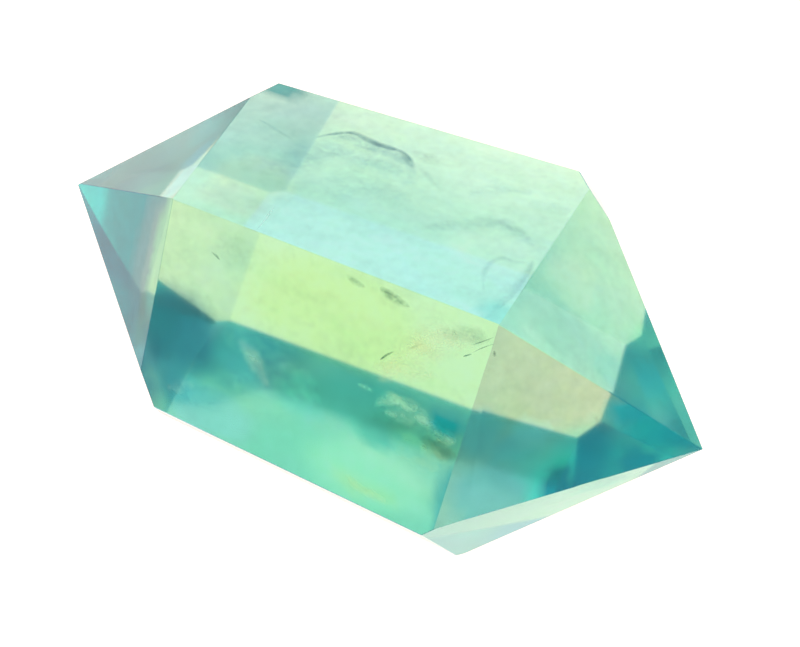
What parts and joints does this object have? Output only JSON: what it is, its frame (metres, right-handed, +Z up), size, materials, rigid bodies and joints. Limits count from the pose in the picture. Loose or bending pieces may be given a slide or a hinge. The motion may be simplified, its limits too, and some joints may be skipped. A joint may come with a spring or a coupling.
{
  "type": "aqua aura quartz point",
  "caption": "Double-ended six-sided quartz crystal, clear and coated aqua, lying on one long flat as a display or jewellery stone.",
  "frame": {"origin": "on the surface the crystal lies on, under the middle of its bounding box", "axes": "+X along the crystal's long axis towards the larger, nearer point, -Y towards the viewer's side, +Z up"},
  "size_m": [0.058, 0.0324, 0.0238],
  "materials": {
    "aqua_quartz": "polished clear quartz with a thin aqua metallic film"
  },
  "bodies": {
    "root": {"quartz_point": "aqua_quartz"}
  },
  "joints": []
}
